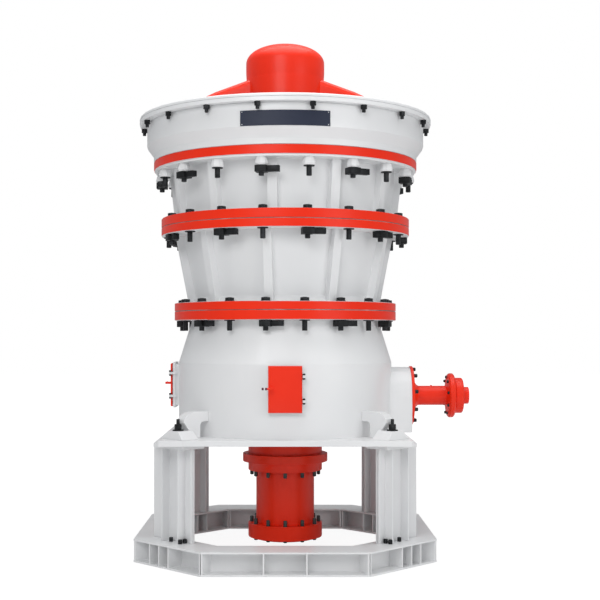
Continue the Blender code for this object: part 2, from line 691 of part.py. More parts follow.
def add_top_frame(finish, parent):
    bottom = TOP_RING_TOP + SEAT_GAP / 2.0
    top = RIM_BOTTOM
    inner = UPPER_FRAME_HEAD - FRAME_WALL
    profile = [(TOP_MOUTH, top), (inner, bottom), (TOP_RING_RADIUS, bottom), (TOP_RING_RADIUS, TOP_NECK_TOP),
               (TOP_DRUM_RADIUS, TOP_DRUM_BOTTOM), (TOP_DRUM_RADIUS, top)]
    add_piece("top_frame", turned(profile, SHELL_STEPS), finish, parent)
    lower = ring(RIM_INNER, RIM_RADIUS, RIM_BOTTOM + SEAT_GAP, RIM_SEAM - SEAT_GAP / 2.0, SHELL_STEPS)
    upper = turned([(RIM_INNER, RIM_SEAM + SEAT_GAP / 2.0), (RIM_RADIUS, RIM_SEAM + SEAT_GAP / 2.0),
                    (RIM_RADIUS, RIM_TOP - RIM_BEVEL), (RIM_RADIUS - RIM_BEVEL, RIM_TOP),
                    (RIM_INNER, RIM_TOP)], SHELL_STEPS)
    add_piece("rim_flange_lower", lower, finish, parent)
    add_piece("rim_flange_upper", upper, finish, parent)


def add_spider(finish, parent):
    """Cast the two-armed spider with its hub and seat ring."""
    foot = RIM_BOTTOM + SEAT_GAP
    outer = (RIM_INNER - SEAT_GAP) * math.cos(math.pi / SHELL_STEPS)
    seat = ring(outer - SPIDER_RING_WIDTH, outer, foot, SPIDER_RING_TOP, SHELL_STEPS)
    hub = rod(SPIDER_HUB_RADIUS, SPIDER_HUB_BOTTOM, SPIDER_HUB_TOP, CYLINDER_STEPS)
    half = SPIDER_ARM_WIDTH / 2.0
    tip = math.sqrt(outer ** 2 - half ** 2) - SPIDER_ARM_INSET
    shoulder = SPIDER_HUB_TOP - SPIDER_ARM_DROP
    sole = foot + SPIDER_ARM_LIFT
    start = SPIDER_HUB_RADIUS / 2.0
    outline = [(start, shoulder), (SPIDER_HUB_RADIUS, shoulder), (SPIDER_ARM_KNEE_RADIUS, SPIDER_ARM_KNEE),
               (tip, SPIDER_ARM_TIP), (tip, sole), (outer - SPIDER_RING_WIDTH, sole)]
    arc_steps = 5
    for step in range(1, arc_steps + 1):
        share = step / arc_steps
        radius = (outer - SPIDER_RING_WIDTH) * (1.0 - share) + SPIDER_HUB_RADIUS * share
        outline.append((radius, foot + (SPIDER_ARM_ARCH - foot) * math.sin(share * math.pi / 2.0)))
    outline.append((start, SPIDER_ARM_ARCH))
    arms = []
    for facing in (0.0, 180.0):
        arm = prism(outline, SPIDER_ARM_WIDTH)
        ridge = [edge for edge in arm.edges
                 if abs(edge.verts[0].co.y - edge.verts[1].co.y) < 1e-6
                 and min(point.co.z for point in edge.verts) > SPIDER_ARM_TIP - 1e-4
                 and abs(edge.verts[0].co.x - edge.verts[1].co.x) > 1e-4
                 and min(point.co.x for point in edge.verts) > start + 1e-4]
        bmesh.ops.bevel(arm, geom=ridge, offset=SPIDER_ARM_ROUND, offset_type="OFFSET", segments=3,
                        profile=0.5, affect="EDGES", material=-1)
        arms.append(turn(arm, facing))
    solid = join(hub, seat, *arms)
    bore = rod(seat_for(SHAFT_TOP_RADIUS, CYLINDER_STEPS), SPIDER_HUB_BOTTOM - 0.2, SPIDER_HUB_TOP + 0.2,
               CYLINDER_STEPS)
    add_piece("spider", cut(solid, bore), finish, parent)
    profile = [(0.0, SPIDER_HUB_TOP + SEAT_GAP), (SPIDER_HUB_RADIUS - CAP_TAPER, SPIDER_HUB_TOP + SEAT_GAP)]
    for step in range(CAP_ARC_STEPS + 1):
        angle = math.pi / 2.0 * step / CAP_ARC_STEPS
        radius = SPIDER_HUB_RADIUS * math.cos(angle) if step < CAP_ARC_STEPS else 0.0
        profile.append((radius, CAP_SHOULDER + (CAP_TOP - CAP_SHOULDER) * math.sin(angle)))
    add_piece("spider_cap", turned(profile, CYLINDER_STEPS), finish, parent)


def add_chamber(steel, parent):
    """Line the frames and hang the mantle on the main shaft."""
    seam = MID_RING_SEAM
    head = UPPER_FRAME_HEAD - FRAME_WALL
    foot = UPPER_FRAME_FOOT - FRAME_WALL
    rise = (LINER_TOP - TOP_RING_TOP) / (RIM_BOTTOM - TOP_RING_TOP)
    mouth = head + (TOP_MOUTH - head) * rise
    snug = math.cos(math.pi / SHELL_STEPS)

    def fit(radius):
        return (radius - SEAT_GAP) * snug

    upper = [(fit(foot), seam + SEAT_GAP), (fit(head), TOP_RING_TOP), (fit(mouth), LINER_TOP),
             (fit(mouth) - LINER / 2.0, LINER_TOP), (fit(head) - LINER, TOP_RING_TOP),
             (fit(foot) - LINER, seam + SEAT_GAP)]
    low_head = LOWER_FRAME_HEAD - FRAME_WALL
    low_foot = LOWER_FRAME_FOOT - FRAME_WALL
    lower = [(fit(low_foot), LOW_RING_SEAM + SEAT_GAP), (fit(low_head), seam - SEAT_GAP),
             (fit(low_head) - LINER, seam - SEAT_GAP), (fit(low_foot) - LINER, LOW_RING_SEAM + SEAT_GAP)]
    add_piece("concave_upper", turned(upper, CHAMBER_STEPS), steel, parent)
    add_piece("concave_lower", turned(lower, CHAMBER_STEPS), steel, parent)
    shaft = [(0.0, ECCENTRIC_BOTTOM), (SHAFT_FOOT_RADIUS, ECCENTRIC_BOTTOM),
             (SHAFT_FOOT_RADIUS, ECCENTRIC_TOP),
             (SHAFT_BODY_RADIUS, ECCENTRIC_TOP + SHAFT_TAPER), (SHAFT_BODY_RADIUS, MANTLE_TOP),
             (SHAFT_TOP_RADIUS, MANTLE_TOP + SHAFT_TAPER), (SHAFT_TOP_RADIUS, SHAFT_TOP), (0.0, SHAFT_TOP)]
    add_piece("main_shaft", turned(shaft, CYLINDER_STEPS), steel, parent)
    inner = seat_for(SHAFT_BODY_RADIUS, CYLINDER_STEPS)
    mantle = [(inner, MANTLE_BOTTOM), (MANTLE_FOOT_RADIUS - MANTLE_LIP_WIDTH, MANTLE_BOTTOM),
              (MANTLE_FOOT_RADIUS, MANTLE_BOTTOM + MANTLE_LIP_HEIGHT), (MANTLE_WAIST_RADIUS, MANTLE_WAIST),
              (MANTLE_TOP_RADIUS, MANTLE_TOP - HEAD_NUT_HEIGHT), (inner, MANTLE_TOP - HEAD_NUT_HEIGHT)]
    add_piece("mantle", turned(mantle, CYLINDER_STEPS), steel, parent)
    nut = ring(inner, HEAD_NUT_RADIUS, MANTLE_TOP - HEAD_NUT_HEIGHT + SEAT_GAP, MANTLE_TOP - SEAT_GAP,
               CYLINDER_STEPS)
    add_piece("mantle_nut", nut, steel, parent)
    sleeve = seat_for(SHAFT_FOOT_RADIUS, CYLINDER_STEPS)
    outer = SHAFT_FOOT_RADIUS + ECCENTRIC_WALL
    collar_top = ECCENTRIC_TOP - ECCENTRIC_TOP_GAP
    eccentric = [(sleeve, ECCENTRIC_BOTTOM), (outer, ECCENTRIC_BOTTOM), (outer, HUB_TOP + SEAT_GAP),
                 (ECCENTRIC_COLLAR_RADIUS, HUB_TOP + SEAT_GAP),
                 (ECCENTRIC_COLLAR_RADIUS - ECCENTRIC_COLLAR_STEP, collar_top), (sleeve, collar_top)]
    add_piece("eccentric", turned(eccentric, CYLINDER_STEPS), steel, parent)


def hinge_heights():
    return (HINGE_MIDDLE - HINGE_SPREAD / 2.0, HINGE_MIDDLE + HINGE_SPREAD / 2.0)


def door_frame():
    """Make the boxed doorway that stands out of the wall, with two hinge lugs."""
    half = DOOR_FRAME_WIDTH / 2.0
    rise = DOOR_FRAME_HEIGHT / 2.0
    face = DOOR_FACE - DOOR_PLATE - SWING_CLEARANCE
    solid = block((-half, -face, DOOR_CENTRE - rise),
                  (half, -(LOWER_RADIUS - SHELL_WALL), DOOR_CENTRE + rise))
    lugs, holes = [], []
    for height in hinge_heights():
        low, high = height - HINGE_LUG / 2.0, height + HINGE_LUG / 2.0
        round_end = rod(HINGE_LUG_WIDTH / 2.0, low, high, PIN_STEPS, (HINGE_SIDE, -HINGE_FACE))
        arm = block((HINGE_SIDE - HINGE_LUG_WIDTH / 4.0, -HINGE_FACE, low),
                    (HINGE_SIDE + HINGE_LUG_WIDTH / 2.0 - HINGE_LEAF_TRIM, -face + HINGE_ARM_FAR, high))
        root = block((half - DOOR_FRAME_WALL / 2.0, -face + HINGE_ROOT_NEAR, low + HINGE_LEAF_TRIM),
                     (HINGE_SIDE + HINGE_LUG_WIDTH / 4.0, -face + HINGE_ROOT_FAR, high - HINGE_LEAF_TRIM))
        lugs += [round_end, arm, root]
        holes.append(rod(bore_for(HINGE_PIN_RADIUS, PIN_STEPS), low - HINGE_LEAF, high + HINGE_LEAF,
                         PIN_STEPS, (HINGE_SIDE, -HINGE_FACE)))
    solid = join(solid, *lugs)
    opening = block((-half + DOOR_FRAME_WALL, -face - 0.1, DOOR_CENTRE - rise + DOOR_FRAME_WALL),
                    (half - DOOR_FRAME_WALL, 0.0, DOOR_CENTRE + rise - DOOR_FRAME_WALL))
    wall = rod(LOWER_RADIUS + SEAT_GAP, BED_TOP, LOWER_CREASE + 0.3, SHELL_STEPS)
    return cut(solid, opening, gathered(holes), wall)


def door():
    """Make the door plate with its hinge leaves, pins and latch handle."""
    half = DOOR_WIDTH / 2.0
    rise = DOOR_HEIGHT / 2.0
    back = DOOR_FACE - DOOR_PLATE
    solid = block((-half, -DOOR_FACE, DOOR_CENTRE - rise), (half, -back, DOOR_CENTRE + rise))
    rim = [edge for edge in solid.edges if max(point.co.y for point in edge.verts) < -back - DOOR_PLATE / 2.0]
    bmesh.ops.bevel(solid, geom=rim, offset=DOOR_EDGE, offset_type="OFFSET", segments=1, profile=0.5,
                    affect="EDGES", material=-1)
    fittings = []
    for height in hinge_heights():
        for side in (-1.0, 1.0):
            near = height + side * (HINGE_LUG / 2.0 + HINGE_RUN)
            far = near + side * HINGE_LEAF
            low, high = min(near, far), max(near, far)
            fittings.append(rod(HINGE_LUG_WIDTH / 2.0 - HINGE_KNUCKLE_TRIM, low, high, PIN_STEPS,
                                (HINGE_SIDE, -HINGE_FACE)))
            leaf_low = (half - HINGE_LEAF_ROOT, -DOOR_FACE - HINGE_LEAF_PROUD, low + HINGE_LEAF_TRIM)
            leaf_high = (HINGE_SIDE, -back - HINGE_LEAF_BACK, high - HINGE_LEAF_TRIM)
            fittings.append(block(leaf_low, leaf_high))
        fittings.append(rod(HINGE_PIN_RADIUS, height - HINGE_LUG / 2.0 - HINGE_LEAF,
                            height + HINGE_LUG / 2.0 + HINGE_LEAF, PIN_STEPS, (HINGE_SIDE, -HINGE_FACE)))
    post_x = -half + HANDLE_INSET
    boss = rod(LATCH_BOSS_RADIUS, DOOR_FACE - DOOR_PLATE / 2.0, DOOR_FACE + LATCH_BOSS_REACH, PIN_STEPS)
    stem = rod(HANDLE_STEM_RADIUS, DOOR_FACE, DOOR_FACE + HANDLE_REACH, PIN_STEPS)
    for piece in (boss, stem):
        bmesh.ops.rotate(piece, cent=(0, 0, 0), matrix=Matrix.Rotation(math.radians(90.0), 3, "X"),
                         verts=piece.verts)
        bmesh.ops.translate(piece, verts=piece.verts, vec=(post_x, 0, HANDLE_HEIGHT))
    grip = rod(HANDLE_RADIUS, -half - HANDLE_OVERHANG + HANDLE_INSET, post_x + HANDLE_RADIUS, PIN_STEPS)
    laid_along_x(grip, HANDLE_HEIGHT)
    bmesh.ops.translate(grip, verts=grip.verts, vec=(0, -DOOR_FACE - HANDLE_REACH + HANDLE_RADIUS * 1.3, 0))
    return join(solid, *fittings, boss, stem, grip)


def add_doors(red, white, parent):
    pivot = (HINGE_SIDE, -HINGE_FACE, HINGE_MIDDLE)
    for side, facing in DOOR_TURNS.items():
        add_piece(f"door_frame_{side}", door_frame(), white, parent, facing=facing)
        add_piece(f"door_{side}", door(), red, parent, pivot=pivot, facing=facing)


def add_drive(red, steel, parent):
    """Bolt the drive housing to the shell's boss, with its cover and shaft."""
    start = BOSS_FACE + SEAT_GAP
    bore = bore_for(DRIVE_SHAFT_RADIUS, DRIVE_STEPS)
    flange_end = start + DRIVE_FLANGE
    flare_steps = 4
    profile = [(bore, start), (DRIVE_FLANGE_RADIUS, start), (DRIVE_FLANGE_RADIUS, flange_end)]
    for step in range(flare_steps + 1):
        share = step / flare_steps
        flare = (DRIVE_FLARE_RADIUS - DRIVE_TUBE_RADIUS) * (1.0 - math.sin(share * math.pi / 2.0))
        profile.append((DRIVE_TUBE_RADIUS + flare, flange_end + (DRIVE_FLARE_END - flange_end) * share))
    end_back = DRIVE_TUBE_END + DRIVE_END_STEP
    profile += [(DRIVE_TUBE_RADIUS, DRIVE_TUBE_END), (DRIVE_END_RADIUS - DRIVE_END_BEVEL, end_back),
                (DRIVE_END_RADIUS, end_back + DRIVE_END_BEVEL),
                (DRIVE_END_RADIUS, DRIVE_END_FACE - DRIVE_END_BEVEL),
                (DRIVE_END_RADIUS - DRIVE_END_BEVEL, DRIVE_END_FACE), (bore, DRIVE_END_FACE)]
    add_piece("drive_housing", laid_along_x(turned(profile, DRIVE_STEPS), DRIVE_HEIGHT), red, parent)
    cover = ring(bore, COVER_RADIUS, DRIVE_END_FACE + SEAT_GAP, COVER_FACE, DRIVE_STEPS, COVER_BEVEL)
    add_piece("drive_cover", laid_along_x(cover, DRIVE_HEIGHT), red, parent)
    shaft = [(0.0, DRIVE_SHAFT_START), (DRIVE_SHAFT_RADIUS, DRIVE_SHAFT_START),
             (DRIVE_SHAFT_RADIUS, DRIVE_STUB_START), (DRIVE_STUB_RADIUS, DRIVE_STUB_START),
             (DRIVE_STUB_RADIUS, DRIVE_REACH), (0.0, DRIVE_REACH)]
    add_piece("drive_shaft", laid_along_x(turned(shaft, DRIVE_STEPS), DRIVE_HEIGHT), steel, parent,
              pivot=(COVER_FACE, 0.0, DRIVE_HEIGHT))


def add_cylinder(finish, parent):
    """Hang the hydraulic cylinder from the hub in three flanged pieces."""
    top = BED_BOTTOM - SEAT_GAP
    body = [(0.0, top), (0.0, CYLINDER_FOOT), (CYLINDER_RADIUS, CYLINDER_FOOT),
            (CYLINDER_RADIUS, COLLAR_BOTTOM), (COLLAR_RADIUS, COLLAR_BOTTOM), (COLLAR_RADIUS, COLLAR_TOP),
            (CYLINDER_RADIUS, COLLAR_TOP), (CYLINDER_RADIUS, top)]
    add_piece("cylinder_body", turned(body, CYLINDER_STEPS), finish, parent)
    barrel = rod(BARREL_RADIUS, BASE_FLANGE_TOP + SEAT_GAP, CYLINDER_FOOT - SEAT_GAP, CYLINDER_STEPS)
    add_piece("cylinder_barrel", barrel, finish, parent)
    flange = [(0.0, BASE_FLANGE_TOP), (0.0, BASE_FLANGE_BOTTOM),
              (BASE_FLANGE_FOOT_RADIUS, BASE_FLANGE_BOTTOM), (BASE_FLANGE_FOOT_RADIUS, BASE_FLANGE_STEP),
              (CYLINDER_RADIUS, BASE_FLANGE_STEP),
              (CYLINDER_RADIUS, BASE_FLANGE_TOP)]
    add_piece("cylinder_base", turned(flange, CYLINDER_STEPS), finish, parent)


def build():
    clear_scene()
    axis = bpy.data.objects.new("crusher_axis", None)
    axis.location = (CRUSHER_AXIS_X, 0.0, 0.0)
    bpy.context.scene.collection.objects.link(axis)
    white = paint("white_paint", (0.82, 0.83, 0.84), 0.35)
    red = paint("red_paint", (0.87, 0.055, 0.026), 0.38)
    steel = paint("machined_steel", (0.36, 0.36, 0.37), 0.40, 0.9)
    add_base(white, axis)
    add_legs(white, axis)
    add_bed(white, axis)
    add_brackets(white, axis)
    add_lower_shell(white, axis)
    add_lower_middle_frame(white, axis)
    add_upper_middle_frame(white, axis)
    add_flange_rings(red, axis)
    add_top_frame(white, axis)
    add_spider(red, axis)
    add_chamber(steel, axis)
    add_doors(red, white, axis)
    add_drive(red, red, axis)
    add_cylinder(red, axis)


build()
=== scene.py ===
"""Gyratory crusher: paint, fasteners, lock tabs, latches, sign plate, floor and light."""

import json
import math

import bmesh
import bpy
from mathutils import Matrix, Vector

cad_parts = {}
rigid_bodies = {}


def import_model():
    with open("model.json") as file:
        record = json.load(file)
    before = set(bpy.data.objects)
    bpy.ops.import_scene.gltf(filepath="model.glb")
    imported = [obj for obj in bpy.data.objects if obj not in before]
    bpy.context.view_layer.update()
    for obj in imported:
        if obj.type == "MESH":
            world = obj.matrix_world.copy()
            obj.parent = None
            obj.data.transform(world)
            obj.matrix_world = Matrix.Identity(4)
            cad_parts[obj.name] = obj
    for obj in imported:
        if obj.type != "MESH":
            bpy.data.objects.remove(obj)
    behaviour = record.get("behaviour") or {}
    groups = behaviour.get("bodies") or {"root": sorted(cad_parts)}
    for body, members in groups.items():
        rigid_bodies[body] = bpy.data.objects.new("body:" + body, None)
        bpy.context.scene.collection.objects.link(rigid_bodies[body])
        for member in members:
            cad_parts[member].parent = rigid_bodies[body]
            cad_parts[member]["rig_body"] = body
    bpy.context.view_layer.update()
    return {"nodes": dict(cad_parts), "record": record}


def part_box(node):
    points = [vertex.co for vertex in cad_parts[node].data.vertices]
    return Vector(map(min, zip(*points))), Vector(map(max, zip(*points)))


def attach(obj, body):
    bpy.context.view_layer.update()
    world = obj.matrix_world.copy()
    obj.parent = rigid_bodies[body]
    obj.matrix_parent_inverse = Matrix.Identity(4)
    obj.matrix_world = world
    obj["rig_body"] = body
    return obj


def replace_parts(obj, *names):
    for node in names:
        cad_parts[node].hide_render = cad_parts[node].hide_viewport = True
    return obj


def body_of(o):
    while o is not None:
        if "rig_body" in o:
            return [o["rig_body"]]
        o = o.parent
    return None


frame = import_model()

# Sizes are metres, and places are measured from the crusher's axis and the floor
# Angles are degrees, counted from the front towards the drive

# Gap under a seated piece, distance that welds points, and the edges of copies and small pieces
SEAT = 0.0004
WELD = 0.00005
FLAT_ANGLE = 0.3
SHARP_EDGE = 26.0
SMALL_SHARP_EDGE = 32.0
EASED_EDGE = 0.005

# A fastener is a stack of steps, each a radius, bottom, top, number of sides and bevel
RIM_SCREW = ((0.036, 0.0, 0.048, 6, 0.004), (0.021, 0.048, 0.084, 14, 0.005))
JOINT_WASHER = (0.062, 0.0, 0.012, 20, 0.003)
JOINT_BOLT = (JOINT_WASHER, (0.031, 0.012, 0.126, 16, 0.007))
BOSS_BOLT = (JOINT_WASHER, (0.031, 0.012, 0.118, 16, 0.007))
SOCKET_NUT = ((0.058, 0.0, 0.007, 20, 0.002), (0.052, 0.007, 0.042, 18, 0.006),
              (0.026, 0.042, 0.046, 6, 0.001))
CYLINDER_NUT = ((0.023, 0.0, 0.066, 14, 0.012),)
CYLINDER_STUD = ((0.023, 0.0, 0.074, 14, 0.012),)
CYLINDER_HEAD = ((0.023, 0.0, 0.022, 14, 0.006),)
HOUSING_BOLT = ((0.026, 0.0, 0.006, 16, 0.001), (0.023, 0.006, 0.044, 14, 0.010))
DRIVE_END_BOLT = ((0.018, 0.0, 0.026, 14, 0.007),)
GREASE_NIPPLE = ((0.013, 0.0, 0.006, 6, 0.001), (0.007, 0.006, 0.014, 10, 0.003))
HINGE_CAP = ((0.0155, 0.0155, 0.0345, 14, 0.005),)
LATCH_GRIP = ((0.014, -0.002, 0.022, 16, 0.004), (0.014, 0.036, 0.060, 16, 0.004))
LATCH_COLLAR = ((0.013, 0.022, 0.036, 16, 0.002),)
SIGN_PIN = ((0.006, 0.0, 0.005, 12, 0.002),)
FOOT_NUT = ((0.024, 0.0, 0.050, 14, 0.008),)
ANCHOR_BOLT = ((0.064, 0.0, 0.013, 24, 0.003), (0.044, 0.013, 0.076, 6, 0.008),
               (0.020, 0.076, 0.134, 14, 0.005))

# Spider cap
CAP_SHOULDER = 6.015
CAP_FOOT_INSET = 0.006
CAP_FULLNESS = 0.94
CAP_STEPS = 24
CAP_SIDES = 96

# Bolt circles of the rim and the shell joints
JOINT_BOLTS = 18
JOINT_PITCH = 360.0 / JOINT_BOLTS
RIM_BOLT_INSET = 0.045
BOSS_BOLT_INSET = 0.093
BOSS_DROP = 0.1173
MID_BOLT_INSET = 0.085
LOW_BOLT_INSET = 0.093

# Lock tabs under the shell joints
TAB_BLOCK = 0.132
TAB_GAP = 0.003
TAB_HEIGHT = 0.078
TAB_ARM = 0.142
TAB_ARM_WIDTH = 0.070
TAB_ARM_GAP = 0.006
TAB_ARM_STEP = 0.004
TAB_LAP = 0.010
TAB_BEVEL = 0.004

# Hydraulic cylinder
CYLINDER_BOLTS = 12
CYLINDER_BOLT_CIRCLE = 0.415
CYLINDER_FOOT = 0.025

# Drive
DRIVE_BOLTS = 9
DRIVE_FIRST = 29.0
DRIVE_BOLT_CIRCLE = 0.323
HOUSING_FLANGE = 0.035
END_BOLT_CIRCLE = 0.228
END_FLANGE = 0.080
TUBE_RADIUS = 0.118
NIPPLE_OFFSET = -0.005

# Doors
DOORS = {"front": 0.0, "left": -90.0, "rear": 180.0}
DOOR_CENTRE = 2.0345
HINGE_SIDE = 0.212
HINGE_FACE = 1.413
HINGE_HEIGHTS = (1.900, 2.180)
LIP_HALF = (0.2035, 0.2785)
LIP_WIDTH = 0.026
LIP_DEPTHS = (1.350, 1.378)
GRIP_PLACE = (-0.2615, -1.4954, 2.045)

# Sign plate on the top frame's drum
SIGN_HALF_ANGLE = 16.9
SIGN_BOTTOM = 4.957
SIGN_TOP = 5.126
SIGN_THICKNESS = 0.006
SIGN_STEPS = 32
SIGN_PIN_ANGLE = 0.7
SIGN_PIN_INSET = 0.016
SIGN_PIN_SINK = 0.001

# Legs, base and bed plate
CORNER = 45.0
FOOT_BOLTS = ((1.700, -0.160), (1.735, 0.042), (1.665, 0.042))
EDGE_BAR = ((1.596, 0.115), (1.654, 0.135))
EDGE_BAR_BEVEL = 0.003
EDGE_BAR_DROP = 0.050
BED_CHAMFER = 1.840
BED_TIP = 0.020
ANCHOR_CIRCLE = 1.730
LUG_HEIGHT = 0.095

# Camera, matched to the photograph in its pixels
CAMERA_DISTANCE = 14.35
CAMERA_HEIGHT = 2.66
IMAGE_SIZE = 600.0
FOCAL_PIXELS = 1150.0
AXIS_PIXEL = 285.2
HORIZON_PIXEL = 334.0

# Floor and surrounding light
FLOOR_HALF = 60.0
FLOOR_DROP = 0.002
FLOOR_TONE = (0.90, 0.90, 0.90, 1.0)
FLOOR_GLOW = 0.80
FLOOR_GLOW_STRENGTH = 1.12
FLOOR_FADE = (3.0, 8.0)
SKY_WHITE = (1.0, 1.0, 1.0, 1.0)
SKY_LIGHT = (0.96, 0.98, 1.0, 1.0)
SKY_STRENGTH = 0.42

# Paint colours, and dirt in the joint lines
WHITE = (0.835, 0.838, 0.842, 1.0)
WHITE_SHADE = (0.780, 0.786, 0.796, 1.0)
RED = (0.930, 0.030, 0.005, 1.0)
RED_SHADE = (0.820, 0.022, 0.004, 1.0)
DIRT = (0.19, 0.17, 0.16, 1.0)
PALE_DIRT = (0.42, 0.43, 0.45, 1.0)
DARK_RED = (0.30, 0.045, 0.030, 1.0)
RIM_SEAM_BAND = 0.004
JOINT_SEAM_BAND = 0.0075
TOP_SEAM_BAND = 0.006


# Places

def turned(angle, axis):
    return Matrix.Rotation(math.radians(angle), 4, axis)


def middle_x(node):
    low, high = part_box(node)
    return (low.x + high.x) / 2.0


def radius_of(node):
    low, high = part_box(node)
    return (high.x - low.x) / 2.0


def bottom_of(node):
    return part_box(node)[0].z


def top_of(node):
    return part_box(node)[1].z


AXIS_X = middle_x("rim_flange_lower")
AXIS = Matrix.Translation((AXIS_X, 0.0, 0.0))
DOWN = turned(180.0, "X")
MIRRORED_DOWN = Matrix.Diagonal((1, 1, -1, 1))


def round_axis(angle, radius, height):
    """Give the place on a circle about the crusher's axis. Local -Y points outwards."""
    return AXIS @ turned(angle, "Z") @ Matrix.Translation((0, -radius, height))


def circle(count, first=0.0):
    return [first + index * 360.0 / count for index in range(count)]


def leg_corners():
    """Give the places of the four legs. Local X points outwards."""
    return [AXIS @ Matrix.Diagonal((side_x, side_y, 1.0, 1.0)) @ turned(CORNER, "Z")
            for side_x in (-1.0, 1.0) for side_y in (-1.0, 1.0)]


# Shader nodes

def feed(tree, socket, value):
    """Link a value that comes from a node, and set one that is plain."""
    if isinstance(value, bpy.types.NodeSocket):
        tree.links.new(value, socket)
    else:
        socket.default_value = value


def noise(tree, place, scale, detail):
    node = tree.nodes.new("ShaderNodeTexNoise")
    node.inputs["Scale"].default_value = scale
    node.inputs["Detail"].default_value = detail
    tree.links.new(place, node.inputs["Vector"])
    return node.outputs["Fac"]


def stretched(tree, place, scale):
    node = tree.nodes.new("ShaderNodeMapping")
    node.inputs["Scale"].default_value = scale
    tree.links.new(place, node.inputs["Vector"])
    return node.outputs["Vector"]


def object_place(tree):
    return tree.nodes.new("ShaderNodeTexCoord").outputs["Object"]


def upright_part(tree, vector):
    split = tree.nodes.new("ShaderNodeSeparateXYZ")
    tree.links.new(vector, split.inputs["Vector"])
    return split.outputs["Z"]


def ramp(tree, value, low, high, low_out=0.0, high_out=1.0):
    """Lead values between two limits over to another range."""
    node = tree.nodes.new("ShaderNodeMapRange")
    node.inputs["From Min"].default_value = low
    node.inputs["From Max"].default_value = high
    node.inputs["To Min"].default_value = low_out
    node.inputs["To Max"].default_value = high_out
    tree.links.new(value, node.inputs["Value"])
    return node.outputs["Result"]


def mix_colours(tree, share, first, second):
    node = tree.nodes.new("ShaderNodeMix")
    node.data_type = "RGBA"
    for socket, value in (("Factor", share), ("A", first), ("B", second)):
        feed(tree, node.inputs[socket], value)
    return node.outputs["Result"]


def mix_shaders(tree, share, first, second, surface):
    node = tree.nodes.new("ShaderNodeMixShader")
    for socket, value in zip(node.inputs, (share, first, second)):
        tree.links.new(value, socket)
    tree.links.new(node.outputs["Shader"], surface)


def calculate(tree, operation, first, second=0.0):
    node = tree.nodes.new("ShaderNodeMath")
    node.operation = operation
    for socket, value in zip(node.inputs, (first, second)):
        feed(tree, socket, value)
    return node.outputs["Value"]


def new_group(name, inputs, outputs):
    """Make an empty shader group with named sockets."""
    group = bpy.data.node_groups.new(name, "ShaderNodeTree")
    for socket, kind, value in inputs:
        made = group.interface.new_socket(socket, in_out="INPUT", socket_type=kind)
        made.default_value = value
    for socket, kind in outputs:
        group.interface.new_socket(socket, in_out="OUTPUT", socket_type=kind)
    return group, group.nodes.new("NodeGroupInput"), group.nodes.new("NodeGroupOutput")


def place_group(tree, group, **values):
    node = tree.nodes.new("ShaderNodeGroup")
    node.node_tree = group
    for name, value in values.items():
        node.inputs[name].default_value = value
    return node


# Node groups that several finishes share

def make_sprayed_coat():
    """Make sprayed paint on metal: cloudy tone, faint runs, orange peel and casting grain."""
    inputs = [("Tone", "NodeSocketColor", WHITE), ("Shade", "NodeSocketColor", WHITE_SHADE),
              ("Roughness", "NodeSocketFloat", 0.35), ("Grain", "NodeSocketFloat", 0.3)]
    outputs = [("Colour", "NodeSocketColor"), ("Roughness", "NodeSocketFloat"),
               ("Height", "NodeSocketFloat")]
    tree, given, result = new_group("sprayed coat", inputs, outputs)
    place = object_place(tree)
    clouds = noise(tree, place, scale=1.1, detail=3.0)
    runs = noise(tree, stretched(tree, place, (9.0, 9.0, 0.7)), scale=1.0, detail=4.0)
    peel = noise(tree, place, scale=55.0, detail=2.0)
    casting = noise(tree, place, scale=210.0, detail=3.0)
    share = calculate(tree, "MAXIMUM", ramp(tree, clouds, 0.35, 0.72, high_out=0.75),
                      ramp(tree, runs, 0.52, 0.80, high_out=0.35))
    colour = mix_colours(tree, share, given.outputs["Tone"], given.outputs["Shade"])
    rough = ramp(tree, peel, 0.3, 0.7, low_out=-0.03, high_out=0.05)
    rough = calculate(tree, "ADD", rough, given.outputs["Roughness"])
    grain = calculate(tree, "MULTIPLY", casting, given.outputs["Grain"])
    tree.links.new(colour, result.inputs["Colour"])
    tree.links.new(rough, result.inputs["Roughness"])
    tree.links.new(calculate(tree, "ADD", peel, grain), result.inputs["Height"])
    return tree


def make_seam_dust():
    """Make a mask of the thin band about a given height, where a joint gathers dirt."""
    inputs = [("Height", "NodeSocketFloat", 0.0), ("Band", "NodeSocketFloat", 0.01)]
    tree, given, result = new_group("seam dust", inputs, [("Mask", "NodeSocketFloat")])
    place = object_place(tree)
    wander = ramp(tree, noise(tree, place, scale=6.0, detail=3.0), 0.3, 0.6, low_out=0.35)
    above = calculate(tree, "SUBTRACT", upright_part(tree, place), given.outputs["Height"])
    off = calculate(tree, "DIVIDE", calculate(tree, "ABSOLUTE", above), given.outputs["Band"])
    near = calculate(tree, "MAXIMUM", calculate(tree, "SUBTRACT", 1.0, off), 0.0)
    tree.links.new(calculate(tree, "MULTIPLY", near, wander), result.inputs["Mask"])
    return tree


COAT = make_sprayed_coat()
SEAM = make_seam_dust()


# Finishes

def new_finish(name, display):
    finish = bpy.data.materials.new(name)
    finish.use_nodes = True
    finish.diffuse_color = (*display, 1.0)
    return finish, finish.node_tree, finish.node_tree.nodes["Principled BSDF"]


def add_bump(tree, shader, height, strength, distance):
    bump = tree.nodes.new("ShaderNodeBump")
    bump.inputs["Strength"].default_value = strength
    bump.inputs["Distance"].default_value = distance
    tree.links.new(height, bump.inputs["Height"])
    tree.links.new(bump.outputs["Normal"], shader.inputs["Normal"])


def flat_faces(tree):
    """Give a mask that is 1 on level faces and 0 on upright ones."""
    normal = tree.nodes.new("ShaderNodeNewGeometry").outputs["Normal"]
    return ramp(tree, calculate(tree, "ABSOLUTE", upright_part(tree, normal)), 0.86, 0.92)


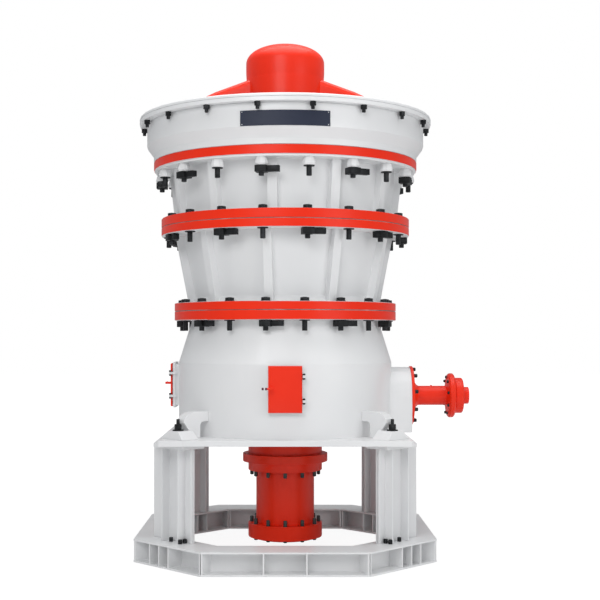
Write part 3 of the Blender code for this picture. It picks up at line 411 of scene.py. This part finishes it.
def painted(name, tone, shade, roughness, grain, coat, specular=0.5, seams=(), edge_only=False):
    """Make satin paint.

    Seams are joint lines with their heights, bands and colours. Paint on the edge only leaves
    level faces white.
    """
    finish, tree, shader = new_finish(name, tone[:3])
    spray = place_group(tree, COAT, Tone=tone, Shade=shade, Roughness=roughness, Grain=grain)
    colour = spray.outputs["Colour"]
    if edge_only:
        white = place_group(tree, COAT, Tone=WHITE, Shade=WHITE_SHADE, Roughness=roughness,
                            Grain=grain)
        colour = mix_colours(tree, flat_faces(tree), colour, white.outputs["Colour"])
    for height, band, dark in seams:
        line = place_group(tree, SEAM, Height=height, Band=band)
        colour = mix_colours(tree, line.outputs["Mask"], colour, dark)
    tree.links.new(colour, shader.inputs["Base Color"])
    tree.links.new(spray.outputs["Roughness"], shader.inputs["Roughness"])
    shader.inputs["Specular IOR Level"].default_value = specular
    shader.inputs["Coat Weight"].default_value = coat
    shader.inputs["Coat Roughness"].default_value = 0.22
    add_bump(tree, shader, spray.outputs["Height"], strength=0.10, distance=0.0012)
    return finish


def blackened_steel(name, tone, worn, roughness):
    """Make oil-blackened steel with fine grain, rubbed a little lighter in patches."""
    finish, tree, shader = new_finish(name, tone[:3])
    place = object_place(tree)
    grain = noise(tree, place, scale=90.0, detail=4.0)
    patches = ramp(tree, noise(tree, place, scale=14.0, detail=3.0), 0.45, 0.75, high_out=0.8)
    rough = ramp(tree, grain, 0.3, 0.7, low_out=roughness - 0.05, high_out=roughness + 0.08)
    tree.links.new(mix_colours(tree, patches, tone, worn), shader.inputs["Base Color"])
    tree.links.new(rough, shader.inputs["Roughness"])
    shader.inputs["Metallic"].default_value = 0.55
    add_bump(tree, shader, grain, strength=0.12, distance=0.0008)
    return finish


def worn_casting(name, tone, bright):
    """Make manganese steel, ground bright by rock in upright scores."""
    finish, tree, shader = new_finish(name, tone[:3])
    place = object_place(tree)
    scores = noise(tree, stretched(tree, place, (26.0, 26.0, 2.2)), scale=1.0, detail=5.0)
    pits = noise(tree, place, scale=60.0, detail=4.0)
    colour = mix_colours(tree, ramp(tree, scores, 0.42, 0.66), tone, bright)
    rough = ramp(tree, scores, 0.4, 0.7, low_out=0.58, high_out=0.36)
    height = calculate(tree, "ADD", scores, calculate(tree, "MULTIPLY", pits, 0.5))
    tree.links.new(colour, shader.inputs["Base Color"])
    tree.links.new(rough, shader.inputs["Roughness"])
    shader.inputs["Metallic"].default_value = 0.85
    add_bump(tree, shader, height, strength=0.35, distance=0.003)
    return finish


white_paint = painted("white satin paint", WHITE, WHITE_SHADE,
                      roughness=0.36, grain=0.35, coat=0.15)
rim_paint = painted("white paint of the rim", WHITE, WHITE_SHADE,
                    roughness=0.34, grain=0.25, coat=0.20,
                    seams=[(top_of("rim_flange_lower"), RIM_SEAM_BAND, PALE_DIRT)])
red_paint = painted("red satin paint", RED, RED_SHADE,
                    roughness=0.38, grain=0.20, coat=0.08, specular=0.28)
ring_paint = painted("red edge paint of the joint rings", RED, RED_SHADE,
                     roughness=0.36, grain=0.15, coat=0.05, specular=0.22,
                     seams=[(top_of("mid_joint_ring_bottom"), JOINT_SEAM_BAND, DIRT),
                            (top_of("low_joint_ring_bottom"), JOINT_SEAM_BAND, DIRT),
                            (top_of("top_joint_ring"), TOP_SEAM_BAND, DARK_RED)],
                     edge_only=True)
sign_face = painted("dark sign enamel", (0.020, 0.026, 0.050, 1.0), (0.026, 0.033, 0.062, 1.0),
                    roughness=0.46, grain=0.05, coat=0.0, specular=0.3)
sign_edge = painted("pale sign border", (0.72, 0.73, 0.75, 1.0), (0.62, 0.63, 0.66, 1.0),
                    roughness=0.30, grain=0.05, coat=0.3)
bolt_black = blackened_steel("blackened bolts", tone=(0.012, 0.013, 0.015, 1.0),
                             worn=(0.045, 0.048, 0.052, 1.0), roughness=0.42)
tab_black = blackened_steel("blackened lock tabs", tone=(0.010, 0.011, 0.012, 1.0),
                            worn=(0.030, 0.032, 0.036, 1.0), roughness=0.50)
stud_grey = blackened_steel("grey cylinder studs", tone=(0.045, 0.055, 0.055, 1.0),
                            worn=(0.095, 0.105, 0.100, 1.0), roughness=0.45)
latch_steel = blackened_steel("maroon latch steel", tone=(0.085, 0.012, 0.030, 1.0),
                              worn=(0.16, 0.030, 0.055, 1.0), roughness=0.35)
liner_steel = worn_casting("worn liner steel", tone=(0.10, 0.095, 0.09, 1.0),
                           bright=(0.36, 0.35, 0.34, 1.0))
machined_steel = worn_casting("oiled shaft steel", tone=(0.20, 0.20, 0.21, 1.0),
                              bright=(0.48, 0.48, 0.49, 1.0))

SLOT_OF = {"white_paint": white_paint, "red_paint": red_paint, "worn_steel": liner_steel}
SPECIAL = {
    "rim_flange_lower": rim_paint, "rim_flange_upper": rim_paint,
    "low_joint_ring_bottom": ring_paint, "low_joint_ring_top": ring_paint,
    "mid_joint_ring_bottom": ring_paint, "mid_joint_ring_top": ring_paint,
    "top_joint_ring": ring_paint,
    "main_shaft": machined_steel, "eccentric": machined_steel,
}


# Tools for the pieces

def smooth_mesh(name, solid, finish, sharp):
    """Close a bmesh into a mesh, smooth but for its sharp edges."""
    mesh = bpy.data.meshes.new(name)
    solid.to_mesh(mesh)
    solid.free()
    mesh.materials.append(finish)
    mesh.shade_smooth()
    mesh.set_sharp_from_angle(angle=math.radians(sharp))
    return mesh


def new_piece(name, mesh, body):
    """Make a piece that rides on a body, with its place in its mesh."""
    piece = bpy.data.objects.new(name, mesh)
    bpy.context.scene.collection.objects.link(piece)
    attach(piece, body)
    return piece


def finished(name, solid, finish, body="machine", slot=None):
    """Make a small piece from its bmesh, its faces turned outwards."""
    bmesh.ops.recalc_face_normals(solid, faces=solid.faces)
    return new_piece(name, smooth_mesh(name, solid, finish, SMALL_SHARP_EDGE), body)


def eased(solid, made, edges, width):
    """Bevel some edges of a new form, and give all its points."""
    grown = bmesh.ops.bevel(solid, geom=edges, offset=width, offset_type="OFFSET", segments=2,
                            profile=0.5, affect="EDGES", material=-1)
    return list({point for point in made if point.is_valid} | set(grown["verts"]))


def edges_of(points):
    return list(dict.fromkeys(edge for point in points for edge in point.link_edges))


def add_disc(solid, place, radius, bottom, top, sides, bevel):
    """Add an upright bar of any number of sides, its upper edge bevelled."""
    depth = top - bottom
    made = bmesh.ops.create_cone(solid, cap_ends=True, cap_tris=False, segments=sides,
                                 radius1=radius, radius2=radius, depth=depth)["verts"]
    rim = [edge for edge in edges_of(made) if all(end.co.z > 0.0 for end in edge.verts)]
    made = eased(solid, made, rim, bevel)
    centre = Matrix.Translation((0, 0, (bottom + top) / 2.0))
    bmesh.ops.transform(solid, matrix=place @ centre, verts=made)


def add_block(solid, place, low, high, bevel=0.0):
    """Add a box between two corners, its edges bevelled."""
    size = Vector(high) - Vector(low)
    centre = (Vector(high) + Vector(low)) / 2.0
    made = bmesh.ops.create_cube(solid, size=1.0, matrix=Matrix.Diagonal((*size, 1.0)))["verts"]
    if bevel > 0.0:
        made = eased(solid, made, edges_of(made), bevel)
    bmesh.ops.transform(solid, matrix=place @ Matrix.Translation(centre), verts=made)


def fasteners(name, sets, finish, **where):
    """Make one piece of many fasteners, each given as its place and its stack of steps."""
    solid = bmesh.new()
    for place, stack in sets:
        for step in stack:
            add_disc(solid, place, *step)
    finished(name, solid, finish, **where)


# Smooth copies of the CAD nodes

def smooth_copy(name, node, finish):
    """Stand a copy with smooth rounds and eased edges in for a CAD node."""
    solid = bmesh.new()
    solid.from_mesh(node.data)
    bmesh.ops.remove_doubles(solid, verts=solid.verts, dist=WELD)
    bmesh.ops.dissolve_limit(solid, angle_limit=math.radians(FLAT_ANGLE), verts=solid.verts,
                             edges=solid.edges, use_dissolve_boundaries=False, delimit=set())
    piece = new_piece(name, smooth_mesh(name, solid, finish, SHARP_EDGE),
                      body_of(node)[0])
    ease = piece.modifiers.new("eased edges", "BEVEL")
    ease.limit_method = "ANGLE"
    ease.angle_limit = math.radians(SHARP_EDGE)
    ease.width = EASED_EDGE
    ease.segments = 2
    ease.harden_normals = True
    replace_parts(piece, node.name)


def domed_cap():
    """Turn the spider's cap with a finely rounded dome."""
    low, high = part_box("spider_cap")
    radius = radius_of("spider_cap")
    dome = high.z - CAP_SHOULDER
    outline = [(0.0, low.z), (radius - CAP_FOOT_INSET, low.z),
               (radius, (low.z + CAP_SHOULDER) / 2.0)]
    for step in range(CAP_STEPS):
        angle = math.pi / 2.0 * step / CAP_STEPS
        outline.append((radius * math.cos(angle) ** CAP_FULLNESS,
                        CAP_SHOULDER + dome * math.sin(angle) ** CAP_FULLNESS))
    outline.append((0.0, high.z))
    solid = bmesh.new()
    points = [solid.verts.new((out, 0.0, height)) for out, height in outline]
    line = [solid.edges.new(pair) for pair in zip(points, points[1:])]
    bmesh.ops.spin(solid, geom=line, cent=(0, 0, 0), axis=(0, 0, 1), dvec=(0, 0, 0),
                   angle=math.radians(360.0), steps=CAP_SIDES, use_merge=True)
    bmesh.ops.remove_doubles(solid, verts=solid.verts, dist=WELD)
    bmesh.ops.transform(solid, matrix=AXIS, verts=solid.verts)
    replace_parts(finished("domed_cap", solid, red_paint, slot="red_paint"), "spider_cap")


# Rim and shell joints

def hanging_bolts(name, radius, under, stack):
    """Hang screws, or washers with the round ends of bolts, under a flange."""
    fasteners(name, [(round_axis(angle, radius, under) @ DOWN, stack)
                     for angle in circle(JOINT_BOLTS, JOINT_PITCH / 2.0)], bolt_black)


def lock_tabs(name, radius, under, first):
    """Lay a lock tab round every other bolt, its arm pointing along the flange."""
    solid = bmesh.new()
    half = TAB_BLOCK / 2.0
    arm = TAB_ARM_WIDTH / 2.0
    for angle in circle(JOINT_BOLTS // 2, first):
        place = round_axis(angle, radius, under) @ MIRRORED_DOWN
        add_block(solid, place, (-half, -half, TAB_GAP), (half, half, TAB_HEIGHT), TAB_BEVEL)
        add_block(solid, place, (half - TAB_LAP, -arm, TAB_ARM_GAP),
                  (half + TAB_ARM, arm, TAB_HEIGHT - TAB_ARM_STEP), TAB_BEVEL)
    finished(name, solid, tab_black)


def socket_nuts(name, radius, over):
    """Stand low socket nuts on a joint ring."""
    fasteners(name, [(round_axis(angle, radius, over), SOCKET_NUT)
                     for angle in circle(JOINT_BOLTS, JOINT_PITCH / 2.0)], bolt_black)


def joint_fasteners():
    """Bolt the rim and the three shell joints, the lock tabs staggered from joint to joint."""
    rim_circle = radius_of("rim_flange_lower") - RIM_BOLT_INSET
    top_circle = radius_of("top_joint_ring") - BOSS_BOLT_INSET
    mid_circle = radius_of("mid_joint_ring_top") - MID_BOLT_INSET
    low_circle = radius_of("low_joint_ring_top") - LOW_BOLT_INSET
    top_under = bottom_of("top_joint_ring") - BOSS_DROP - SEAT
    mid_under = bottom_of("mid_joint_ring_bottom") - SEAT
    low_under = bottom_of("low_joint_ring_bottom") - SEAT
    odd, even = -JOINT_PITCH / 2.0, JOINT_PITCH / 2.0
    hanging_bolts("rim_bolts", rim_circle, bottom_of("rim_flange_lower") - SEAT, RIM_SCREW)
    hanging_bolts("top_joint_bolts", top_circle, top_under, BOSS_BOLT)
    hanging_bolts("mid_joint_bolts", mid_circle, mid_under, JOINT_BOLT)
    hanging_bolts("low_joint_bolts", low_circle, low_under, JOINT_BOLT)
    lock_tabs("top_joint_lock_tabs", top_circle, top_under, odd)
    lock_tabs("mid_joint_lock_tabs", mid_circle, mid_under, even)
    lock_tabs("low_joint_lock_tabs", low_circle, low_under, odd)
    socket_nuts("mid_joint_nuts", mid_circle, top_of("mid_joint_ring_top") + SEAT)
    socket_nuts("low_joint_nuts", low_circle, top_of("low_joint_ring_top") + SEAT)


# Hydraulic cylinder

def cylinder_studs():
    """Fit domed nuts above and below the cylinder's two flanges."""
    under_body = bottom_of("cylinder_body") - SEAT
    over_base = top_of("cylinder_base") + SEAT
    base_step = bottom_of("cylinder_base") + CYLINDER_FOOT - SEAT
    sets = []
    for angle in circle(CYLINDER_BOLTS):
        for height, facing, stack in ((under_body, DOWN, CYLINDER_NUT),
                                      (over_base, Matrix.Identity(4), CYLINDER_STUD),
                                      (base_step, DOWN, CYLINDER_HEAD)):
            sets.append((round_axis(angle, CYLINDER_BOLT_CIRCLE, height) @ facing, stack))
    fasteners("cylinder_studs", sets, stud_grey)


# Drive

def along_drive(angle, radius, x):
    """Give a place round the drive shaft. Local Z points outboard."""
    height = (bottom_of("drive_cover") + top_of("drive_cover")) / 2.0
    return (Matrix.Translation((x, 0.0, height)) @ turned(angle, "X")
            @ Matrix.Translation((0.0, -radius, 0.0)) @ turned(90.0, "Y"))


def drive_fasteners():
    """Bolt the drive's two flanges and fit the grease nipple on its tube."""
    inboard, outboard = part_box("drive_housing")
    flange_face = inboard.x + HOUSING_FLANGE + SEAT
    end_back = outboard.x - END_FLANGE - SEAT
    sets = []
    for angle in circle(DRIVE_BOLTS, DRIVE_FIRST):
        sets.append((along_drive(angle, DRIVE_BOLT_CIRCLE, flange_face), HOUSING_BOLT))
        sets.append((along_drive(angle, END_BOLT_CIRCLE, end_back) @ DOWN, DRIVE_END_BOLT))
    fasteners("drive_bolts", sets, bolt_black)
    crown = along_drive(-90.0, TUBE_RADIUS, middle_x("drive_housing") + NIPPLE_OFFSET)
    fasteners("drive_grease_nipple", [(crown @ turned(90.0, "X"), GREASE_NIPPLE)], red_paint,
              slot="red_paint")


# Doors

def door_fittings(side, turn):
    """Cap a door's hinge pins and sleeve its latch handle."""
    pins = [turn @ Matrix.Translation((HINGE_SIDE, -HINGE_FACE, height))
            for height in HINGE_HEIGHTS]
    fasteners(f"hinge_caps_{side}", [(pin @ way, HINGE_CAP) for pin in pins
                                     for way in (Matrix.Identity(4), DOWN)],
              bolt_black, body=f"{side}_door")
    handle = turn @ Matrix.Translation(GRIP_PLACE) @ turned(90.0, "Y")
    fasteners(f"door_grip_{side}", [(handle, LATCH_GRIP)], latch_steel, body=f"{side}_door")
    fasteners(f"door_grip_collar_{side}", [(handle, LATCH_COLLAR)], white_paint,
              body=f"{side}_door")


def door_lip(side, turn):
    """Put a raised lip round a doorway, behind its frame."""
    lip = bmesh.new()
    bmesh.ops.create_grid(lip, x_segments=1, y_segments=1, size=1.0,
                          matrix=Matrix.Diagonal((*LIP_HALF, 1.0, 1.0)))
    inside = lip.faces[:]
    bmesh.ops.inset_region(lip, faces=inside, thickness=LIP_WIDTH, use_even_offset=True,
                           use_boundary=True)
    bmesh.ops.delete(lip, geom=inside, context="FACES")
    grown = bmesh.ops.extrude_face_region(lip, geom=lip.faces[:])["geom"]
    raised = [point for point in grown if isinstance(point, bmesh.types.BMVert)]
    bmesh.ops.translate(lip, vec=(0, 0, LIP_DEPTHS[1] - LIP_DEPTHS[0]), verts=raised)
    stand = Matrix.Translation((0, -LIP_DEPTHS[0], DOOR_CENTRE)) @ turned(90.0, "X")
    bmesh.ops.transform(lip, matrix=turn @ stand, verts=lip.verts)
    finished(f"door_lip_{side}", lip, white_paint, slot="white_paint")


# Sign plate

def sign_plate():
    """Bend a bare plate round the drum and pin its corners."""
    drum = radius_of("top_frame") + SEAT
    plate = bmesh.new()
    outline = ((0, SIGN_BOTTOM), (SIGN_THICKNESS, SIGN_BOTTOM),
               (SIGN_THICKNESS, SIGN_TOP), (0, SIGN_TOP))
    end = [plate.verts.new((0, -drum - out, height)) for out, height in outline]
    face = plate.faces.new(end)
    bmesh.ops.rotate(plate, cent=(0, 0, 0), verts=end,
                     matrix=turned(-SIGN_HALF_ANGLE, "Z").to_3x3())
    bmesh.ops.spin(plate, geom=[face], cent=(0, 0, 0), axis=(0, 0, 1), dvec=(0, 0, 0),
                   angle=math.radians(2.0 * SIGN_HALF_ANGLE), steps=SIGN_STEPS,
                   use_duplicate=False)
    bmesh.ops.transform(plate, matrix=AXIS, verts=plate.verts)
    finished("sign_plate", plate, sign_face)
    face_radius = drum + SIGN_THICKNESS - SIGN_PIN_SINK
    pin_angle = SIGN_HALF_ANGLE - SIGN_PIN_ANGLE
    fasteners("sign_pins", [(round_axis(angle, face_radius, height) @ turned(90.0, "X"), SIGN_PIN)
                            for angle in (-pin_angle, pin_angle)
                            for height in (SIGN_BOTTOM + SIGN_PIN_INSET,
                                           SIGN_TOP - SIGN_PIN_INSET)], sign_edge)


# Legs, base and bed plate

def foot_bolts():
    """Put three round nuts on the base beams at the foot of each leg."""
    beam_top = top_of("base_beam_front") + SEAT
    fasteners("foot_bolts", [(corner @ Matrix.Translation((out, along, beam_top)), FOOT_NUT)
                             for corner in leg_corners() for out, along in FOOT_BOLTS],
              bolt_black)


def leg_edge_bars():
    """Weld an upright bar along the inner wing of each leg."""
    solid = bmesh.new()
    low = top_of("base_beam_front") + SEAT
    high = top_of("leg_front_left") - EDGE_BAR_DROP
    for corner in leg_corners():
        add_block(solid, corner, (*EDGE_BAR[0], low), (*EDGE_BAR[1], high), EDGE_BAR_BEVEL)
    finished("leg_edge_bars", solid, white_paint, slot="white_paint")


def bed_corners():
    """Weld corner plates to the bed plate that make it square, with cut tips."""
    low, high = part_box("bed_plate")
    half = radius_of("bed_plate")
    near = BED_CHAMFER * math.sqrt(2.0) - half
    tip = half * math.sqrt(2.0) - BED_TIP
    solid = bmesh.new()
    add_block(solid, Matrix.Identity(4), (near, near, low.z), (half, half, high.z))
    for reach, keep in ((BED_CHAMFER + SEAT, 1.0), (tip, -1.0)):
        across = reach / math.sqrt(2.0)
        cut = bmesh.ops.bisect_plane(solid, geom=solid.verts[:] + solid.edges[:] + solid.faces[:],
                                     plane_co=(across, across, 0.0), plane_no=(keep, keep, 0.0),
                                     clear_inner=True)["geom_cut"]
        open_edges = [edge for edge in cut if isinstance(edge, bmesh.types.BMEdge)]
        bmesh.ops.holes_fill(solid, edges=open_edges)
    bmesh.ops.spin(solid, geom=solid.faces[:], cent=(0, 0, 0), axis=(0, 0, 1), dvec=(0, 0, 0),
                   angle=math.radians(270.0), steps=3, use_duplicate=True)
    bmesh.ops.transform(solid, matrix=AXIS, verts=solid.verts)
    finished("bed_corner_plates", solid, white_paint, slot="white_paint")


def anchor_bolts():
    """Stand the four large bolts on the bed plate's corner lugs."""
    over = bottom_of("corner_bracket_front_left") + LUG_HEIGHT + SEAT
    fasteners("anchor_bolts", [(round_axis(angle, ANCHOR_CIRCLE, over), ANCHOR_BOLT)
                               for angle in circle(4, CORNER)], bolt_black)


# Camera, floor and light

def set_camera():
    """Look level at the crusher, shifting the picture instead of tilting."""
    lens = bpy.data.cameras.new("camera")
    lens.sensor_width = 36.0
    lens.lens = lens.sensor_width * FOCAL_PIXELS / IMAGE_SIZE
    lens.shift_x = (IMAGE_SIZE / 2.0 - AXIS_PIXEL) / IMAGE_SIZE
    lens.shift_y = (HORIZON_PIXEL - IMAGE_SIZE / 2.0) / IMAGE_SIZE
    lens.clip_end = 200.0
    camera = bpy.data.objects.new("camera", lens)
    camera.location = (AXIS_X, -CAMERA_DISTANCE, CAMERA_HEIGHT)
    camera.rotation_euler = (math.radians(90.0), 0.0, 0.0)
    bpy.context.scene.collection.objects.link(camera)
    bpy.context.scene.camera = camera


def studio_floor():
    """Lay a pale floor that keeps the object's shadow and turns white further out."""
    solid = bmesh.new()
    bmesh.ops.create_grid(solid, x_segments=1, y_segments=1, size=FLOOR_HALF)
    mesh = bpy.data.meshes.new("floor")
    solid.to_mesh(mesh)
    solid.free()
    floor = bpy.data.objects.new("floor", mesh)
    floor.location = (0.0, 0.0, -FLOOR_DROP)
    bpy.context.scene.collection.objects.link(floor)
    finish = bpy.data.materials.new("pale floor")
    finish.use_nodes = True
    tree = finish.node_tree
    tree.nodes.remove(tree.nodes["Principled BSDF"])
    dull = tree.nodes.new("ShaderNodeBsdfDiffuse")
    dull.inputs["Color"].default_value = FLOOR_TONE
    glow = tree.nodes.new("ShaderNodeEmission")
    glow.inputs["Strength"].default_value = FLOOR_GLOW_STRENGTH
    reach = tree.nodes.new("ShaderNodeVectorMath")
    reach.operation = "LENGTH"
    tree.links.new(object_place(tree), reach.inputs[0])
    white = ramp(tree, reach.outputs["Value"], *FLOOR_FADE, low_out=FLOOR_GLOW)
    path = tree.nodes.new("ShaderNodeLightPath")
    share = calculate(tree, "MULTIPLY", path.outputs["Is Camera Ray"], white)
    mix_shaders(tree, share, dull.outputs["BSDF"], glow.outputs["Emission"],
                tree.nodes["Material Output"].inputs["Surface"])
    mesh.materials.append(finish)


def studio_world():
    """Light evenly from all round, and show white behind the object."""
    world = bpy.data.worlds.new("studio")
    world.use_nodes = True
    tree = world.node_tree
    seen = tree.nodes["Background"]
    seen.inputs["Color"].default_value = SKY_WHITE
    seen.inputs["Strength"].default_value = 1.0
    lit = tree.nodes.new("ShaderNodeBackground")
    lit.inputs["Color"].default_value = SKY_LIGHT
    lit.inputs["Strength"].default_value = SKY_STRENGTH
    path = tree.nodes.new("ShaderNodeLightPath")
    shown = calculate(tree, "MAXIMUM", path.outputs["Is Camera Ray"],
                      path.outputs["Is Transmission Ray"])
    mix_shaders(tree, shown, lit.outputs["Background"], seen.outputs["Background"],
                tree.nodes["World Output"].inputs["Surface"])
    bpy.context.scene.world = world


def area_light(name, place, aim_height, size, power):
    """Hang a rectangular light that is aimed at the crusher's axis."""
    light = bpy.data.lights.new(name, "AREA")
    light.shape = "RECTANGLE"
    light.size, light.size_y = size
    light.energy = power
    lamp = bpy.data.objects.new(name, light)
    lamp.location = place
    aim = Vector((AXIS_X, 0.0, aim_height)) - Vector(place)
    lamp.rotation_euler = aim.to_track_quat("-Z", "Y").to_euler()
    bpy.context.scene.collection.objects.link(lamp)


# Assembly

for part in frame["record"]["subparts"]:
    node = frame["nodes"][part["node"]]
    finish = SPECIAL.get(part["node"], SLOT_OF[part["material_slot"]])
    node.data.materials.clear()
    node.data.materials.append(finish)
    if part["node"] != "spider_cap":
        smooth_copy(f"{part['node']}_dressed", node, finish)

domed_cap()
joint_fasteners()
cylinder_studs()
drive_fasteners()
for side, angle in DOORS.items():
    turn = AXIS @ turned(angle, "Z")
    door_fittings(side, turn)
    door_lip(side, turn)
sign_plate()
foot_bolts()
leg_edge_bars()
bed_corners()
anchor_bolts()

set_camera()
studio_floor()
studio_world()
area_light("key light", (-3.5, -12.5, 8.5), aim_height=3.2, size=(6.0, 5.0), power=440.0)
area_light("fill light", (8.5, -9.0, 5.0), aim_height=3.0, size=(6.0, 6.0), power=240.0)
area_light("top light", (0.0, -1.0, 12.5), aim_height=3.0, size=(10.0, 10.0), power=800.0)
bpy.context.scene.view_settings.view_transform = "Standard"
